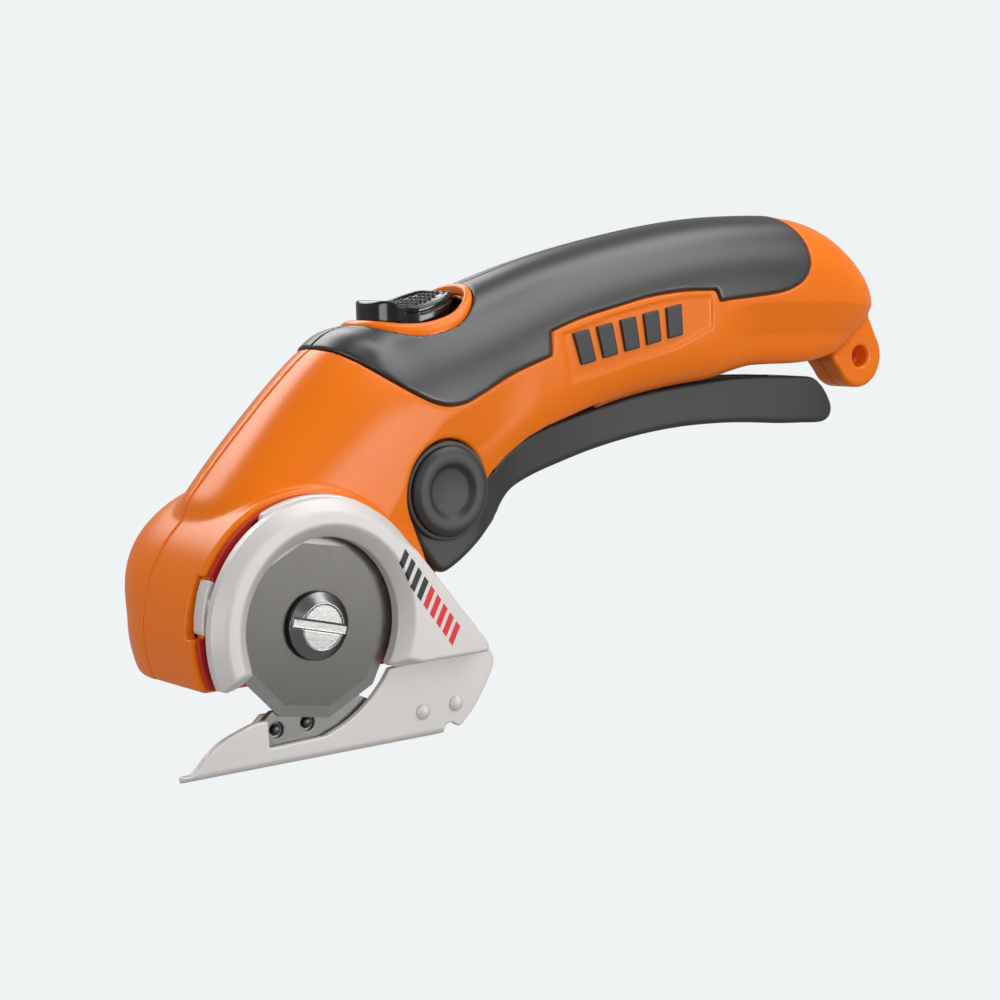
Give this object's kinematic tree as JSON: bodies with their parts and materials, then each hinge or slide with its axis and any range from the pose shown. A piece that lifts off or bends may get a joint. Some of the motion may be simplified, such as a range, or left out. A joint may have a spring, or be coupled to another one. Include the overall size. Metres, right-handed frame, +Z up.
{
  "type": "cordless electric rotary cutter",
  "caption": "Cordless rotary cutter: motor-driven polygonal blade under a guard, cutting against an anvil on a sliding foot, with a curved grip and a squeeze lever.",
  "frame": {"origin": "on the underside of the foot, straight below the blade axis", "axes": "+X towards the rear of the handle, +Y away from the blade side, +Z up"},
  "size_m": [0.2476, 0.0525, 0.1226],
  "materials": {
    "orange_plastic": "satin",
    "soft_grip": "matt",
    "black_gloss": "gloss",
    "dark_plastic": "matt",
    "silver_paint": "fine metallic",
    "steel": "ground",
    "bright_screw": "polished",
    "brass": "turned",
    "red_paint": "satin",
    "nylon": "satin",
    "plated_steel": "plated",
    "black_plastic": "satin",
    "cell_wrap": "gloss",
    "board_green": "satin",
    "red_plastic": "satin"
  },
  "bodies": {
    "body": {"housing_left": "orange_plastic", "housing_right": "orange_plastic", "slider_bezel": "orange_plastic", "grip_left": "soft_grip", "grip_right": "soft_grip", "pivot_cap_left": "dark_plastic", "pivot_cap_right": "dark_plastic", "side_badge_left": "dark_plastic", "side_badge_right": "dark_plastic", "motor_magnet_a": "dark_plastic", "motor_magnet_b": "dark_plastic", "blade_guard": "silver_paint", "foot_plate": "silver_paint", "anvil_rivet_1": "silver_paint", "anvil_rivet_2": "silver_paint", "foot_rivet_1": "silver_paint", "foot_rivet_2": "silver_paint", "lever_spring": "steel", "anvil_blade": "steel", "guard_screw_1": "steel", "guard_screw_2": "steel", "housing_screw_1": "steel", "housing_screw_2": "steel", "housing_screw_3": "steel", "housing_screw_4": "steel", "housing_screw_5": "steel", "backing_plate": "red_paint", "gearbox_ring": "nylon", "spindle_bearing_front": "plated_steel", "spindle_bearing_rear": "plated_steel", "motor_can": "plated_steel", "battery_tab_front": "plated_steel", "battery_tab_rear": "plated_steel", "motor_end_cap": "black_plastic", "charging_jack": "black_plastic", "micro_switch": "black_plastic", "motor_lead_black": "black_plastic", "battery_cell": "cell_wrap", "circuit_board": "board_green", "motor_lead_red": "red_plastic"},
    "blade_set": {"cutting_blade": "steel", "blade_screw": "bright_screw", "output_spindle": "steel", "output_gear": "nylon"},
    "carrier_set": {"planet_carrier": "steel", "drive_pinion": "brass"},
    "planet_1": {"planet_gear_1": "nylon"},
    "planet_2": {"planet_gear_2": "nylon"},
    "planet_3": {"planet_gear_3": "nylon"},
    "rotor_set": {"motor_rotor": "steel", "sun_gear": "brass"},
    "lever": {"trigger_lever": "dark_plastic"},
    "slider": {"lock_slider": "black_gloss"},
    "plunger": {"switch_plunger": "red_plastic"}
  },
  "joints": [
    {"name": "blade_spin", "type": "hinge", "parent": "body", "child": "blade_set", "pos_m": [0, -0.008, 0.031], "axis": [0, 1, 0], "continuous": true},
    {"name": "carrier_spin", "type": "hinge", "parent": "body", "child": "carrier_set", "pos_m": [0, 0.016, 0.031], "axis": [0.5878, 0, 0.809], "continuous": true},
    {"name": "planet_1_spin", "type": "hinge", "parent": "carrier_set", "child": "planet_1", "pos_m": [0.00492, 0.016, 0.02743], "axis": [0.5878, 0, 0.809], "continuous": true},
    {"name": "planet_2_spin", "type": "hinge", "parent": "carrier_set", "child": "planet_2", "pos_m": [-0.00246, 0.02126, 0.03279], "axis": [0.5878, 0, 0.809], "continuous": true},
    {"name": "planet_3_spin", "type": "hinge", "parent": "carrier_set", "child": "planet_3", "pos_m": [-0.00246, 0.01074, 0.03279], "axis": [0.5878, 0, 0.809], "continuous": true},
    {"name": "rotor_spin", "type": "hinge", "parent": "body", "child": "rotor_set", "pos_m": [0, 0.016, 0.031], "axis": [0.5878, 0, 0.809], "continuous": true},
    {"name": "lever_squeeze", "type": "hinge", "parent": "body", "child": "lever", "pos_m": [0.0422, 0.016, 0.0579], "axis": [0, -1, 0], "range_deg": [0, 4], "stiffness_Nm_per_rad": 2, "springref_deg": -8.59, "deforming": ["lever_spring"]},
    {"name": "slider_push", "type": "slide", "parent": "body", "child": "slider", "axis": [0.9724, 0, 0.2334], "range_m": [0, 0.0025], "stiffness_N_per_m": 400, "springref_m": -0.002},
    {"name": "plunger_push", "type": "slide", "parent": "body", "child": "plunger", "axis": [0, 0, 1], "range_m": [0, 0.0024]}
  ],
  "couplings": [
    {"joint": "blade_spin", "follows": "rotor_spin", "ratio": 0.055556},
    {"joint": "carrier_spin", "follows": "rotor_spin", "ratio": 0.22222},
    {"joint": "planet_1_spin", "follows": "rotor_spin", "ratio": -0.62222},
    {"joint": "planet_2_spin", "follows": "rotor_spin", "ratio": -0.62222},
    {"joint": "planet_3_spin", "follows": "rotor_spin", "ratio": -0.62222},
    {"joint": "plunger_push", "follows": "lever_squeeze", "m_per_rad": 0.0323}
  ]
}
